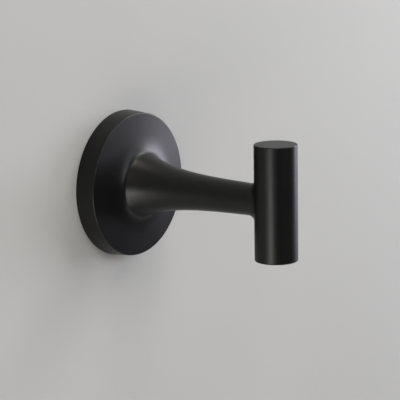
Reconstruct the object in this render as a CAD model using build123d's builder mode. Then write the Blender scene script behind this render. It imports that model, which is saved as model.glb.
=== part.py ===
from build123d import *
from math import radians, sqrt, tan
import os

# Wall-mounted towel hook, in millimetres: a round flange flares into a slim post with an upright crossbar.
# The hook is one hollow-backed casting. It drops over a bracket on the wall, and a set screw locks it there.
# The origin is the flange's centre on the wall plane, the hook reaches along -Y and +Z is up.
# A depth is a distance from the wall.

# Flange
flange_diameter = 50.0  # across the rim at the wall
rim_depth = 7.0  # wall to the front edge of the rim
rim_draft = 0.5  # how far the rim draws in between the wall and its front edge
rim_edge_chamfer = 0.4
rim_wall = 3.2
face_wall = 2.6
face_tilt = 5.3  # rise of the face from the rim towards the post, in degrees

# Trumpet: the face turns up through a flare into a tapering neck, which eases into the slim post
flare_diameter = 35.0  # where the face starts to turn up
neck_root_diameter = 19.4
neck_root_rise = 5.8  # beyond the rim's front edge
neck_tip_diameter = 14.4
neck_tip_rise = 17.2  # beyond the rim's front edge
post_diameter = 10.7
post_straight = 12.0  # start of the post's straight end to the bar's axis
post_end_diameter = 10.25  # on the bar's axis

# Crossbar
bar_diameter = 14.3
bar_length = 38.6
bar_depth = 63.5  # wall to the bar's axis
bar_edge_chamfer = 0.3
saddle_radius = 3.0  # blend where the post meets the bar

# Wall bracket, a plate whose top and bottom edges are undercut
bracket_width = 22.0
bracket_gap = 4.8  # bracket to pocket wall, room to lift the hook on and off
bracket_headroom = 0.4  # bracket front to pocket ceiling
bracket_undercut = 1.0  # how far an edge draws in towards the wall
bracket_corner_chamfer = 2.5
wall_screw_hole_diameter = 4.5
wall_screw_head_diameter = 8.5
wall_screw_head_depth = 2.4
wall_screw_inset = 7.0  # bracket edge to the centre of a wall screw's hole

# Catch at the top of the pocket, which hooks behind the bracket's undercut edge
catch_width = 14.0
catch_back = 0.6  # wall to the back of the catch
catch_thickness = 2.2
catch_clearance = 0.1

# Set screw, and the boss that it threads through at the bottom of the pocket
set_screw_diameter = 4.0
set_screw_length = 6.0
set_screw_point_length = 0.8
set_screw_point_diameter = 2.0  # flat end of the point
set_screw_chamfer = 0.4
set_screw_inset = 1.2  # bracket front to the screw's axis
socket_width = 2.0  # across flats
socket_depth = 2.4
thread_clearance = 0.1
point_clearance = 0.05
boss_wall = 2.4  # metal at each side of the threaded hole
boss_corner_radius = 1.0
boss_clearance = 1.3  # bracket to boss, more than the undercut

# Sizes that follow from these
flange_radius = flange_diameter / 2
face_radius = flange_radius - rim_draft
flare_radius = flare_diameter / 2
flare_rise = (face_radius - flare_radius) * tan(radians(face_tilt))
bar_radius = bar_diameter / 2
pocket_radius = flange_radius - rim_wall
pocket_depth = rim_depth - face_wall
root_radius = flange_radius - rim_wall / 2  # catch and boss grow out of the middle of the rim's wall
bracket_reach = pocket_radius - bracket_gap  # half the bracket's height, at its front
bracket_thickness = pocket_depth - bracket_headroom
wall_screw_spacing = 2 * (bracket_reach - wall_screw_inset)
set_screw_radius = set_screw_diameter / 2
set_screw_depth = bracket_thickness - set_screw_inset
thread_radius = set_screw_radius + thread_clearance
boss_width = 2 * (thread_radius + boss_wall)
boss_reach = bracket_reach + boss_clearance

# Points of the trumpet's section, as radius and depth
rim_edge = Vector(face_radius, rim_depth)
flare_start = Vector(flare_radius, rim_depth + flare_rise)
neck_root = Vector(neck_root_diameter / 2, rim_depth + neck_root_rise)
neck_tip = Vector(neck_tip_diameter / 2, rim_depth + neck_tip_rise)
post_start = Vector(post_diameter / 2, bar_depth - post_straight)
post_end = Vector(post_end_diameter / 2, bar_depth)


def crossing(first, second, third, fourth):
    """Point where the line through the first two points meets the line through the last two."""
    along = second - first
    other = fourth - third
    across = third - first
    share = (across.X * other.Y - across.Y * other.X) / (along.X * other.Y - along.Y * other.X)
    return first + along * share


def bracket_edge(depth):
    """Distance of the bracket's undercut top and bottom edges from its centre line, at this depth."""
    return bracket_reach - bracket_undercut * (bracket_thickness - depth) / bracket_thickness


def root_reach(width):
    """Distance from the centre at which a rib this wide ends inside the rim's wall."""
    return sqrt(root_radius**2 - (width / 2) ** 2)


# Section through the post's axis: x is the radius and y the depth
section_plane = Plane(origin=(0, 0, 0), x_dir=(1, 0, 0), z_dir=(0, 0, -1))
# Upright section: x is the height and y the depth
upright_plane = Plane(origin=(0, 0, 0), x_dir=(0, 0, 1), z_dir=(1, 0, 0))
# Wall seen from the room: x is X, y the height and z the depth
wall_plane = Plane(origin=(0, 0, 0), x_dir=(1, 0, 0), z_dir=(0, -1, 0))

# Hook body
with BuildPart() as hook_body:
    # Flange and trumpet, turned about the post's axis
    with BuildSketch(section_plane):
        with BuildLine():
            Polyline((0, 0), (flange_radius, 0), rim_edge, flare_start)
            Bezier(flare_start, crossing(rim_edge, flare_start, neck_root, neck_tip), neck_root)
            Line(neck_root, neck_tip)
            Bezier(neck_tip, crossing(neck_root, neck_tip, post_start, post_end), post_start)
            Polyline(post_start, post_end, (0, bar_depth), (0, 0))
        profile = make_face()
        chamfer(profile.vertices().group_by(Axis.X)[-2], rim_edge_chamfer)
    revolve(axis=Axis.Y)

    # Upright crossbar, with a saddle where it meets the post and eased ends
    with Locations((0, -bar_depth, 0)):
        Cylinder(bar_radius, bar_length)
    fillet(hook_body.edges(Select.NEW), saddle_radius)
    bar_ends = hook_body.edges().filter_by(GeomType.CIRCLE).group_by(Axis.Z)
    chamfer(bar_ends[0] + bar_ends[-1], bar_edge_chamfer)

    # Pocket behind the face
    with BuildSketch(wall_plane):
        Circle(pocket_radius)
    extrude(amount=pocket_depth, mode=Mode.SUBTRACT)

    # Catch at the top of the pocket
    with BuildSketch(upright_plane):
        catch_front = catch_back + catch_thickness
        with BuildLine():
            Polyline(
                (bracket_edge(catch_back) + catch_clearance, catch_back),
                (bracket_edge(catch_front) + catch_clearance, catch_front),
                (root_reach(catch_width), catch_front),
                (root_reach(catch_width), catch_back),
                close=True,
            )
        make_face()
    extrude(amount=catch_width / 2, both=True)

    # Boss at the bottom of the pocket, and the threaded hole through boss and rim
    with BuildSketch(wall_plane) as boss:
        with Locations((0, -boss_reach)):
            Rectangle(boss_width, root_reach(boss_width) - boss_reach, align=(Align.CENTER, Align.MAX))
        fillet(boss.vertices().group_by(Axis.Y)[-1], boss_corner_radius)
    extrude(amount=pocket_depth + face_wall / 2)
    hole_place = (0, -set_screw_depth, -bracket_reach)
    with BuildSketch(Plane(origin=hole_place, x_dir=(1, 0, 0), z_dir=(0, 0, -1))):
        Circle(thread_radius)
    extrude(amount=flange_radius - bracket_reach, mode=Mode.SUBTRACT)

# Wall bracket
with BuildPart() as wall_bracket:
    with BuildSketch(upright_plane):
        with BuildLine():
            Polyline(
                (-bracket_edge(0), 0),
                (bracket_edge(0), 0),
                (bracket_reach, bracket_thickness),
                (-bracket_reach, bracket_thickness),
                close=True,
            )
        make_face()
    extrude(amount=bracket_width / 2, both=True)
    side_edges = wall_bracket.faces().filter_by(Axis.X).edges()
    chamfer(side_edges.filter_by(Axis.Z, reverse=True), bracket_corner_chamfer)
    with Locations(wall_plane.offset(bracket_thickness)):
        with GridLocations(0, wall_screw_spacing, 1, 2):
            CounterBoreHole(
                wall_screw_hole_diameter / 2, wall_screw_head_diameter / 2, wall_screw_head_depth
            )

# Set screw, whose flat point bears on the bracket's undercut bottom edge
point_radius = set_screw_point_diameter / 2
point_reach = bracket_edge(set_screw_depth + point_radius) + point_clearance
point_place = (0, -set_screw_depth, -point_reach)
socket_place = (0, -set_screw_depth, -point_reach - set_screw_length)

with BuildPart() as set_screw:
    with BuildSketch(Plane(origin=point_place, x_dir=(1, 0, 0), z_dir=(0, 1, 0))):
        with BuildLine():
            Polyline(
                (0, 0),
                (point_radius, 0),
                (set_screw_radius, set_screw_point_length),
                (set_screw_radius, set_screw_length - set_screw_chamfer),
                (set_screw_radius - set_screw_chamfer, set_screw_length),
                (0, set_screw_length),
                close=True,
            )
        make_face()
    revolve(axis=Axis(point_place, (0, 0, -1)))
    with BuildSketch(Plane(origin=socket_place, x_dir=(1, 0, 0), z_dir=(0, 0, -1))):
        RegularPolygon(socket_width / 2, 6, major_radius=False)
    extrude(amount=-socket_depth, mode=Mode.SUBTRACT)

hook_body.part.label = "hook_body"
wall_bracket.part.label = "wall_bracket"
set_screw.part.label = "set_screw"

os.makedirs("parts", exist_ok=True)
export_step(hook_body.part, "parts/hook_body.step")
export_step(wall_bracket.part, "parts/wall_bracket.step")
export_step(set_screw.part, "parts/set_screw.step")
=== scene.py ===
"""Looks for a wall-mounted towel hook: its casting, finishes, wall, studio light and camera."""

import logging
import math
from dataclasses import dataclass
from enum import Enum

import bpy
from mathutils import Matrix, Vector

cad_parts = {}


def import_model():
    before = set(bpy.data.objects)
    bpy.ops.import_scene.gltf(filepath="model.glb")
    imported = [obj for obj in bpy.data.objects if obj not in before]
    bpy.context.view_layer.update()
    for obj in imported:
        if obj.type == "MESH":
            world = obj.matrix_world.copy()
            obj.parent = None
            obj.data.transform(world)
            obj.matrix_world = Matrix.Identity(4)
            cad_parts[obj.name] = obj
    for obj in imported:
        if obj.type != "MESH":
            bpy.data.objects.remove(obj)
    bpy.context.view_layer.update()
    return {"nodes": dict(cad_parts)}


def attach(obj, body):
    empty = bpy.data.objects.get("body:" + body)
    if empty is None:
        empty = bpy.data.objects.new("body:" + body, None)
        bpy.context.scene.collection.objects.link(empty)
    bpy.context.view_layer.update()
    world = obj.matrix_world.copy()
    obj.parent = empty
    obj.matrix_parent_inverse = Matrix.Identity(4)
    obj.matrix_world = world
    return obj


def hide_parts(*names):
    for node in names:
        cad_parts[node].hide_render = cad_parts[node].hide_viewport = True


log = logging.getLogger("towel_hook")

MM = 0.001
Colour = tuple[float, float, float]
Triple = tuple[float, float, float]
Point = tuple[float, float]


class Node(Enum):
    """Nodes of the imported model."""

    HOOK = "hook_body"
    BRACKET = "wall_bracket"
    SCREW = "set_screw"


def new_material(name: str) -> tuple[bpy.types.Material, bpy.types.Node]:
    """Makes a material that holds only a Principled BSDF and its output.

    Args:
        name: the material's name.

    Returns:
        The material and its Principled BSDF node.
    """
    material = bpy.data.materials.new(name)
    material.use_nodes = True
    tree = material.node_tree
    tree.nodes.clear()
    shader = tree.nodes.new("ShaderNodeBsdfPrincipled")
    output = tree.nodes.new("ShaderNodeOutputMaterial")
    tree.links.new(shader.outputs["BSDF"], output.inputs["Surface"])
    return material, shader


def direction(azimuth: float, elevation: float) -> Vector:
    """Gives the direction at these angles.

    Args:
        azimuth: degrees from the wall's outward normal towards +X.
        elevation: degrees above the horizon.

    Returns:
        A vector of length 1.
    """
    turn = math.radians(azimuth)
    lift = math.radians(elevation)
    return Vector((math.sin(turn) * math.cos(lift), -math.cos(turn) * math.cos(lift), math.sin(lift)))


def blend_colour(tree: bpy.types.NodeTree, mask: bpy.types.NodeSocket, low: Colour, high: Colour,
                 target: bpy.types.NodeSocket) -> None:
    """Lets a mask run a socket's colour between two colours.

    Args:
        tree: the material's node tree.
        mask: the mask's output, from 0 to 1.
        low: the colour where the mask is 0.
        high: the colour where the mask is 1.
        target: the socket that takes the colour.
    """
    blend = tree.nodes.new("ShaderNodeMix")
    blend.data_type = "RGBA"
    first, second = (socket for socket in blend.inputs if socket.type == "RGBA")
    first.default_value = (*low, 1.0)
    second.default_value = (*high, 1.0)
    result = next(socket for socket in blend.outputs if socket.type == "RGBA")
    tree.links.new(mask, blend.inputs["Factor"])
    tree.links.new(result, target)


def spread_value(tree: bpy.types.NodeTree, mask: bpy.types.NodeSocket, low: float, high: float,
                 target: bpy.types.NodeSocket) -> None:
    """Lets a mask run a socket's value between two values.

    Args:
        tree: the material's node tree.
        mask: the mask's output, from 0 to 1.
        low: the value where the mask is 0.
        high: the value where the mask is 1.
        target: the socket that takes the value.
    """
    spread = tree.nodes.new("ShaderNodeMapRange")
    spread.inputs["To Min"].default_value = low
    spread.inputs["To Max"].default_value = high
    tree.links.new(mask, spread.inputs["Value"])
    tree.links.new(spread.outputs["Result"], target)


def raise_grain(tree: bpy.types.NodeTree, height: bpy.types.NodeSocket, depth: float,
                target: bpy.types.NodeSocket) -> None:
    """Lets a height run a shader's normal.

    Args:
        tree: the material's node tree.
        height: the height's output, from 0 to 1.
        depth: metres between the lowest and the highest point.
        target: the shader's Normal socket.
    """
    bump = tree.nodes.new("ShaderNodeBump")
    bump.inputs["Distance"].default_value = depth
    tree.links.new(height, bump.inputs["Height"])
    tree.links.new(bump.outputs["Normal"], target)


@dataclass(frozen=True)
class SurfaceGrain:
    """Fine grain and broad mottle that the finishes share, each with its own scales.

    The scales are waves per metre, and the stretch draws the pattern out along an axis as a brush does.
    """

    grain_scale: float
    mottle_scale: float
    stretch: Triple = (1.0, 1.0, 1.0)
    group_name: str = "surface_grain"
    grain_detail: float = 3.0
    mottle_detail: float = 2.0
    noise_low: float = 0.3
    noise_high: float = 0.7

    def group(self) -> bpy.types.NodeTree:
        """Makes the node group, or finds it where another finish has made it.

        Returns:
            The group's node tree.
        """
        found = bpy.data.node_groups.get(self.group_name)
        if found:
            return found
        tree = bpy.data.node_groups.new(self.group_name, "ShaderNodeTree")
        layers = {"Grain": self.grain_detail, "Mottle": self.mottle_detail}
        tree.interface.new_socket("Vector", in_out="INPUT", socket_type="NodeSocketVector")
        for name in layers:
            tree.interface.new_socket(f"{name} Scale", in_out="INPUT", socket_type="NodeSocketFloat")
            tree.interface.new_socket(name, in_out="OUTPUT", socket_type="NodeSocketFloat")
        inlet = tree.nodes.new("NodeGroupInput")
        outlet = tree.nodes.new("NodeGroupOutput")
        for name, detail in layers.items():
            noise = tree.nodes.new("ShaderNodeTexNoise")
            noise.inputs["Detail"].default_value = detail
            widen = tree.nodes.new("ShaderNodeMapRange")
            widen.inputs["From Min"].default_value = self.noise_low
            widen.inputs["From Max"].default_value = self.noise_high
            tree.links.new(inlet.outputs["Vector"], noise.inputs["Vector"])
            tree.links.new(inlet.outputs[f"{name} Scale"], noise.inputs["Scale"])
            tree.links.new(noise.outputs["Fac"], widen.inputs["Value"])
            tree.links.new(widen.outputs["Result"], outlet.inputs[name])
        return tree

    def place(self, tree: bpy.types.NodeTree) -> bpy.types.Node:
        """Puts the grain into a material.

        Args:
            tree: the material's node tree.

        Returns:
            The group's node, with the outputs Grain and Mottle.
        """
        coordinates = tree.nodes.new("ShaderNodeTexCoord")
        mapping = tree.nodes.new("ShaderNodeMapping")
        mapping.inputs["Scale"].default_value = self.stretch
        grain = tree.nodes.new("ShaderNodeGroup")
        grain.node_tree = self.group()
        grain.inputs["Grain Scale"].default_value = self.grain_scale
        grain.inputs["Mottle Scale"].default_value = self.mottle_scale
        tree.links.new(coordinates.outputs["Object"], mapping.inputs["Vector"])
        tree.links.new(mapping.outputs["Vector"], grain.inputs["Vector"])
        return grain


@dataclass(frozen=True)
class Finish:
    """A finish whose colour, gloss and grain vary a little. The grain's depth is in metres."""

    name: str
    dark: Colour
    light: Colour
    roughness_low: float
    roughness_high: float
    grain: SurfaceGrain
    grain_depth: float
    metallic: float = 0.0
    specular_level: float = 0.5

    def build(self) -> bpy.types.Material:
        """Makes the finish's material, or finds it where another piece has made it.

        Returns:
            The material.
        """
        found = bpy.data.materials.get(self.name)
        if found:
            return found
        material, shader = new_material(self.name)
        tree = material.node_tree
        grain = self.grain.place(tree)
        shader.inputs["Metallic"].default_value = self.metallic
        shader.inputs["Specular IOR Level"].default_value = self.specular_level
        blend_colour(tree, grain.outputs["Mottle"], self.dark, self.light, shader.inputs["Base Color"])
        spread_value(tree, grain.outputs["Mottle"], self.roughness_low, self.roughness_high,
                     shader.inputs["Roughness"])
        raise_grain(tree, grain.outputs["Grain"], self.grain_depth, shader.inputs["Normal"])
        return material


SATIN_BLACK_COATING = Finish(
    name="satin_black_coating",
    dark=(0.0008, 0.0008, 0.0009),
    light=(0.0014, 0.0014, 0.0015),
    roughness_low=0.37,
    roughness_high=0.40,
    grain=SurfaceGrain(grain_scale=1400.0, mottle_scale=110.0),
    grain_depth=1.5e-6,
    specular_level=0.27,
)
PLATED_STEEL = Finish(
    name="plated_steel",
    dark=(0.50, 0.51, 0.54),
    light=(0.62, 0.63, 0.65),
    roughness_low=0.28,
    roughness_high=0.42,
    grain=SurfaceGrain(grain_scale=900.0, mottle_scale=160.0, stretch=(0.06, 1.0, 1.0)),
    grain_depth=6e-6,
    metallic=1.0,
)
SCREW_STEEL = Finish(
    name="screw_steel",
    dark=(0.10, 0.10, 0.105),
    light=(0.15, 0.15, 0.16),
    roughness_low=0.38,
    roughness_high=0.5,
    grain=SurfaceGrain(grain_scale=2200.0, mottle_scale=500.0),
    grain_depth=3e-6,
    metallic=1.0,
)
WALL_PAINT = Finish(
    name="wall_paint",
    dark=(0.446, 0.440, 0.420),
    light=(0.468, 0.462, 0.442),
    roughness_low=0.66,
    roughness_high=0.74,
    grain=SurfaceGrain(grain_scale=700.0, mottle_scale=9.0),
    grain_depth=8e-6,
)
FLOOR_PAINT = Finish(
    name="floor_paint",
    dark=(0.52, 0.515, 0.50),
    light=(0.55, 0.545, 0.53),
    roughness_low=0.6,
    roughness_high=0.7,
    grain=SurfaceGrain(grain_scale=300.0, mottle_scale=4.0),
    grain_depth=2e-5,
)


def clear_back(material: bpy.types.Material) -> None:
    """Leaves a material's back unseen, so that the hook shows from behind the wall.

    Args:
        material: the material of a sheet that is seen from its front.
    """
    tree = material.node_tree
    shader = next(node for node in tree.nodes if node.type == "BSDF_PRINCIPLED")
    output = next(node for node in tree.nodes if node.type == "OUTPUT_MATERIAL")
    geometry = tree.nodes.new("ShaderNodeNewGeometry")
    clear = tree.nodes.new("ShaderNodeBsdfTransparent")
    mix = tree.nodes.new("ShaderNodeMixShader")
    tree.links.new(geometry.outputs["Backfacing"], mix.inputs["Fac"])
    tree.links.new(shader.outputs["BSDF"], mix.inputs[1])
    tree.links.new(clear.outputs["BSDF"], mix.inputs[2])
    tree.links.new(mix.outputs["Shader"], output.inputs["Surface"])


@dataclass(frozen=True)
class DressedNode:
    """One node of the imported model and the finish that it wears."""

    node: Node
    finish: Finish

    def dress(self, nodes: dict[str, bpy.types.Object]) -> None:
        """Gives the node its finish.

        Args:
            nodes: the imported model's objects by node name.
        """
        mesh = nodes[self.node.value].data
        mesh.materials.clear()
        mesh.materials.append(self.finish.build())
        log.info("dressed %s in %s", self.node.value, self.finish.name)


def arc_point(first: Point, corner: Point, last: Point, share: float) -> Point:
    """Gives a point of the curve that rounds off a corner between two points.

    Args:
        first: the curve's first point.
        corner: the corner that the curve rounds off.
        last: the curve's last point.
        share: the place along the curve, from 0 to 1.

    Returns:
        The point.
    """
    rest = 1.0 - share
    return tuple(rest * rest * a + 2.0 * rest * share * b + share * share * c
                 for a, b, c in zip(first, corner, last))


@dataclass(frozen=True)
class HookCasting:
    """The hook's casting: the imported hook, with a foot that turns up more closely and a slimmer neck.

    Points are a radius from the post's axis and a depth from the wall, in millimetres, and the merge
    distance is in metres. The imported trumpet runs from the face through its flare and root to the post,
    and the new one from the same face to the same post.
    """

    name: str = "hook_casting"
    node: Node = Node.HOOK
    finish: Finish = SATIN_BLACK_COATING
    slot: str = "black_coating"
    face: Point = (21.9, 7.24)
    post: Point = (6.36, 30.0)
    packed_flare_radius: float = 17.5
    packed_root: Point = (10.2, 11.38)
    foot_start: Point = (17.5, 7.65)
    foot_corner: Point = (11.55, 8.2)
    foot_end: Point = (10.75, 10.1)
    neck_corner: Point = (7.52, 17.8)
    merge_distance: float = 1e-6
    smooth_angle: float = 35.0

    def reshape(self, radius: float, depth: float) -> Point:
        """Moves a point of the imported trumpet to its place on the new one.

        Args:
            radius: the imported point's radius.
            depth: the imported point's depth.

        Returns:
            The new radius and depth.
        """
        face_radius, _ = self.face
        _, post_depth = self.post
        root_radius, root_depth = self.packed_root
        flare_radius = self.packed_flare_radius
        if depth > root_depth:
            share = (depth - root_depth) / (post_depth - root_depth)
            return arc_point(self.foot_end, self.neck_corner, self.post, share)
        if radius < flare_radius:
            share = min(1.0, (flare_radius - radius) / (flare_radius - root_radius))
            return arc_point(self.foot_start, self.foot_corner, self.foot_end, share)
        share = (face_radius - radius) / (face_radius - flare_radius)
        return tuple(a + share * (b - a) for a, b in zip(self.face, self.foot_start))

    def copy_node(self, source: bpy.types.Object) -> bpy.types.Object:
        """Copies a node's mesh into a new object and joins its loose triangles.

        Args:
            source: the node's object.

        Returns:
            The copy, selected and active.
        """
        bpy.ops.object.select_all(action="DESELECT")
        copy = bpy.data.objects.new(self.name, source.data.copy())
        bpy.context.scene.collection.objects.link(copy)
        copy.select_set(True)
        bpy.context.view_layer.objects.active = copy
        if copy.data.has_custom_normals:
            bpy.ops.mesh.customdata_custom_splitnormals_clear()
        bpy.ops.object.mode_set(mode="EDIT")
        bpy.ops.mesh.select_all(action="SELECT")
        bpy.ops.mesh.remove_doubles(threshold=self.merge_distance)
        bpy.ops.object.mode_set(mode="OBJECT")
        return copy

    def build(self, nodes: dict[str, bpy.types.Object]) -> bpy.types.Object:
        """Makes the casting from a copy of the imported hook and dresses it.

        Args:
            nodes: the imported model's objects by node name.

        Returns:
            The casting's object.
        """
        casting = self.copy_node(nodes[self.node.value])
        face_radius, face_depth = self.face
        _, post_depth = self.post
        for vertex in casting.data.vertices:
            x, y, z = vertex.co / MM
            radius = math.hypot(x, z)
            if face_depth < -y < post_depth and radius < face_radius:
                new_radius, depth = self.reshape(radius, -y)
                grow = new_radius / radius
                vertex.co = Vector((x * grow, -depth, z * grow)) * MM
        bpy.ops.object.shade_smooth_by_angle(angle=math.radians(self.smooth_angle))
        casting.data.materials.clear()
        casting.data.materials.append(self.finish.build())
        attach(casting, "root")
        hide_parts(self.node.value)
        log.info("built %s", casting.name)
        return casting


@dataclass(frozen=True)
class RoundedEdge:
    """A rounded edge of the casting: a half-round ring that lies in the edge's chamfer.

    Lengths are in millimetres, apart from the merge distance in metres. The section is a circle in a plane
    through the ring's axis.
    """

    name: str
    section_radius: float
    section_centre: Triple
    section_turn: float
    outward: Triple
    pivot: Triple
    axis: Triple
    finish: Finish
    slot: str = "black_coating"
    section_points: int = 24
    steps: int = 160
    merge_distance: float = 1e-7
    smooth_angle: float = 40.0

    def build(self) -> bpy.types.Object:
        """Makes the ring and dresses it.

        Returns:
            The ring's object.
        """
        bpy.ops.object.select_all(action="DESELECT")
        centre = Vector(self.section_centre) * MM
        bpy.ops.mesh.primitive_circle_add(
            vertices=self.section_points,
            radius=self.section_radius * MM,
            fill_type="NGON",
            location=centre,
            rotation=(math.radians(self.section_turn), 0.0, 0.0),
        )
        ring = bpy.context.object
        ring.name = self.name
        bpy.ops.object.transform_apply(location=True, rotation=True, scale=True)
        bpy.ops.object.mode_set(mode="EDIT")
        bpy.ops.mesh.select_all(action="SELECT")
        bpy.ops.mesh.bisect(plane_co=centre, plane_no=self.outward, clear_inner=True)
        bpy.ops.mesh.select_all(action="SELECT")
        bpy.ops.mesh.delete(type="ONLY_FACE")
        bpy.ops.mesh.select_all(action="SELECT")
        bpy.ops.mesh.spin(steps=self.steps, angle=math.tau, center=Vector(self.pivot) * MM, axis=self.axis)
        bpy.ops.mesh.select_all(action="SELECT")
        bpy.ops.mesh.remove_doubles(threshold=self.merge_distance)
        bpy.ops.mesh.normals_make_consistent(inside=False)
        bpy.ops.object.mode_set(mode="OBJECT")
        bpy.ops.object.shade_smooth_by_angle(angle=math.radians(self.smooth_angle))
        ring.data.materials.append(self.finish.build())
        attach(ring, "root")
        log.info("built %s", ring.name)
        return ring


EDGES = (
    RoundedEdge(
        "rim_edge",
        section_radius=0.472,
        section_centre=(24.058, -6.567, 0.0),
        section_turn=0.0,
        outward=(0.715, -0.700, 0.0),
        pivot=(0.0, 0.0, 0.0),
        axis=(0.0, 1.0, 0.0),
        finish=SATIN_BLACK_COATING,
    ),
    RoundedEdge(
        "bar_top_edge",
        section_radius=0.3,
        section_centre=(6.85, -63.5, 19.0),
        section_turn=90.0,
        outward=(0.707, 0.0, 0.707),
        pivot=(0.0, -63.5, 0.0),
        axis=(0.0, 0.0, 1.0),
        finish=SATIN_BLACK_COATING,
    ),
    RoundedEdge(
        "bar_bottom_edge",
        section_radius=0.3,
        section_centre=(6.85, -63.5, -19.0),
        section_turn=90.0,
        outward=(0.707, 0.0, -0.707),
        pivot=(0.0, -63.5, 0.0),
        axis=(0.0, 0.0, 1.0),
        finish=SATIN_BLACK_COATING,
    ),
)


@dataclass(frozen=True)
class SoftLamp:
    """A soft rectangular lamp that faces the hook. Lengths are in metres, angles in degrees."""

    name: str
    azimuth: float
    elevation: float
    distance: float
    width: float
    height: float
    radiance: float
    colour: Colour = (1.0, 1.0, 1.0)

    def build(self, aim: Vector) -> None:
        """Makes the lamp.

        Args:
            aim: the point that the lamp faces.
        """
        away = direction(self.azimuth, self.elevation)
        light = bpy.data.lights.new(self.name, "AREA")
        light.shape = "RECTANGLE"
        light.size = self.width
        light.size_y = self.height
        light.color = self.colour
        light.energy = math.pi * self.width * self.height * self.radiance
        lamp = bpy.data.objects.new(self.name, light)
        lamp.location = aim + away * self.distance
        lamp.rotation_mode = "QUATERNION"
        lamp.rotation_quaternion = away.to_track_quat("Z", "Y")
        lamp.visible_camera = False
        bpy.context.scene.collection.objects.link(lamp)
        log.info("lit %s", self.name)


LAMPS = (
    SoftLamp(
        "right_near",
        azimuth=77.0, elevation=36.0, distance=0.51,
        width=0.14, height=0.40, radiance=4.6,
        colour=(0.96, 1.0, 0.99),
    ),
    SoftLamp(
        "right_far",
        azimuth=72.0, elevation=5.0, distance=1.5,
        width=0.50, height=0.80, radiance=10.2,
        colour=(0.90, 0.89, 1.0),
    ),
    SoftLamp(
        "right_top",
        azimuth=60.0, elevation=45.0, distance=1.5,
        width=0.70, height=0.60, radiance=4.5,
    ),
    SoftLamp(
        "front_right",
        azimuth=28.0, elevation=20.0, distance=1.5,
        width=0.60, height=0.55, radiance=3.0,
        colour=(0.88, 0.91, 1.0),
    ),
    SoftLamp(
        "front",
        azimuth=-5.0, elevation=20.0, distance=1.5,
        width=0.60, height=0.55, radiance=6.3,
        colour=(0.97, 0.98, 1.0),
    ),
    SoftLamp(
        "left_low",
        azimuth=-77.0, elevation=-36.0, distance=0.51,
        width=0.14, height=0.40, radiance=4.3,
        colour=(0.99, 1.0, 0.90),
    ),
    SoftLamp(
        "left_high",
        azimuth=-77.0, elevation=36.0, distance=0.51,
        width=0.14, height=0.40, radiance=1.8,
        colour=(1.0, 0.94, 0.84),
    ),
    SoftLamp(
        "left_by_wall",
        azimuth=-90.0, elevation=-37.0, distance=0.50,
        width=0.06, height=0.40, radiance=4.2,
        colour=(1.0, 0.98, 0.80),
    ),
    SoftLamp(
        "left_far",
        azimuth=-84.5, elevation=-20.0, distance=1.5,
        width=0.30, height=0.53, radiance=11.4,
        colour=(0.99, 0.97, 1.0),
    ),
    SoftLamp(
        "above",
        azimuth=0.0, elevation=84.0, distance=1.5,
        width=0.60, height=0.60, radiance=9.8,
        colour=(1.0, 0.96, 0.87),
    ),
    SoftLamp(
        "below",
        azimuth=0.0, elevation=-60.0, distance=1.1,
        width=0.60, height=0.40, radiance=1.2,
    ),
    SoftLamp(
        "behind",
        azimuth=160.0, elevation=28.0, distance=1.2,
        width=1.2, height=0.90, radiance=3.0,
    ),
)


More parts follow.
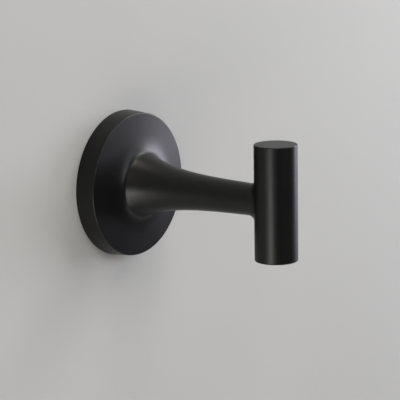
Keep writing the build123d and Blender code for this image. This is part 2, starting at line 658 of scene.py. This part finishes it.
@dataclass
class Studio:
    """Wall, floor, lamps and world light. Lengths are in metres."""

    wall_radius: float = 1.5
    wall_points: int = 128
    wall_gap: float = 0.1 * MM
    hole_radius: float = 24.5 * MM
    floor_drop: float = 1.2
    floor_size: float = 4.0
    aim: Triple = (0.0, -35.0 * MM, 0.0)
    wall_finish: Finish = WALL_PAINT
    floor_finish: Finish = FLOOR_PAINT
    lamps: tuple[SoftLamp, ...] = LAMPS
    world_colour: Colour = (0.108, 0.106, 0.112)

    def build_wall(self) -> bpy.types.Object:
        """Makes the wall, open behind the flange so that light reaches the hook's hollow back.

        Returns:
            The wall's object.
        """
        bpy.ops.object.select_all(action="DESELECT")
        bpy.ops.mesh.primitive_circle_add(
            vertices=self.wall_points,
            radius=self.hole_radius,
            location=(0.0, self.wall_gap, 0.0),
            rotation=(math.radians(90.0), 0.0, 0.0),
        )
        wall = bpy.context.object
        wall.name = "stage_wall"
        spread = self.wall_radius / self.hole_radius
        bpy.ops.object.mode_set(mode="EDIT")
        bpy.ops.mesh.select_all(action="SELECT")
        bpy.ops.mesh.extrude_edges_move()
        bpy.ops.transform.resize(value=(spread, spread, spread), center_override=wall.location)
        bpy.ops.object.mode_set(mode="OBJECT")
        bpy.ops.object.transform_apply(location=True, rotation=True, scale=True)
        if wall.data.polygons[0].normal.y > 0:
            wall.data.flip_normals()
        paint = self.wall_finish.build()
        clear_back(paint)
        wall.data.materials.append(paint)
        log.info("built %s", wall.name)
        return wall

    def build_floor(self) -> bpy.types.Object:
        """Makes the floor below the hook.

        Returns:
            The floor's object.
        """
        bpy.ops.object.select_all(action="DESELECT")
        bpy.ops.mesh.primitive_plane_add(size=self.floor_size, location=(0.0, 0.0, -self.floor_drop))
        floor = bpy.context.object
        floor.name = "stage_floor"
        bpy.ops.object.transform_apply(location=True, rotation=True, scale=True)
        floor.data.materials.append(self.floor_finish.build())
        log.info("built %s", floor.name)
        return floor

    def build_world(self) -> None:
        """Makes the even light of the room."""
        world = bpy.data.worlds.new("room_light")
        world.use_nodes = True
        world.node_tree.nodes["Background"].inputs["Color"].default_value = (*self.world_colour, 1.0)
        bpy.context.scene.world = world

    def build_lamps(self) -> None:
        """Makes the lamps."""
        for lamp in self.lamps:
            lamp.build(Vector(self.aim))


@dataclass
class PhotoCamera:
    """Camera at the photograph's viewing angle.

    Lengths are in millimetres, apart from the clipping distances in metres, and angles in degrees.
    """

    azimuth: float = -53.56
    elevation: float = 12.0
    roll: float = -0.942
    distance: float = 666.72
    aim: Triple = (0.0, -35.0, 0.0)
    shift_right: float = -1.715
    shift_up: float = -2.304
    lens: float = 180.0
    sensor: float = 36.0
    clip_start: float = 0.01
    clip_end: float = 10.0

    def build(self) -> bpy.types.Object:
        """Makes the camera and hands it to the scene.

        Returns:
            The camera's object.
        """
        turn = math.radians(self.azimuth)
        tilt = math.radians(self.roll)
        back = direction(self.azimuth, self.elevation)
        level = Vector((math.cos(turn), math.sin(turn), 0.0))
        upright = back.cross(level)
        right = math.cos(tilt) * level + math.sin(tilt) * upright
        up = math.cos(tilt) * upright - math.sin(tilt) * level
        place = Vector(self.aim) + back * self.distance + right * self.shift_right + up * self.shift_up
        data = bpy.data.cameras.new("photo_camera")
        data.lens = self.lens
        data.sensor_width = self.sensor
        data.clip_start = self.clip_start
        data.clip_end = self.clip_end
        camera = bpy.data.objects.new("photo_camera", data)
        axes = Matrix((right, up, back)).transposed().to_4x4()
        camera.matrix_world = Matrix.Translation(place * MM) @ axes
        bpy.context.scene.collection.objects.link(camera)
        bpy.context.scene.camera = camera
        return camera


PIECES = (
    DressedNode(Node.HOOK, SATIN_BLACK_COATING),
    DressedNode(Node.BRACKET, PLATED_STEEL),
    DressedNode(Node.SCREW, SCREW_STEEL),
)


def main() -> None:
    """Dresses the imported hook, builds its casting and edges, and sets it on its stage."""
    logging.basicConfig(level=logging.INFO, format="%(message)s")
    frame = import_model()
    for piece in PIECES:
        piece.dress(frame["nodes"])
    HookCasting().build(frame["nodes"])
    for edge in EDGES:
        edge.build()
    studio = Studio()
    studio.build_wall()
    studio.build_floor()
    studio.build_world()
    studio.build_lamps()
    PhotoCamera().build()
    bpy.context.scene.view_settings.view_transform = "Standard"


if __name__ == "__main__":
    main()
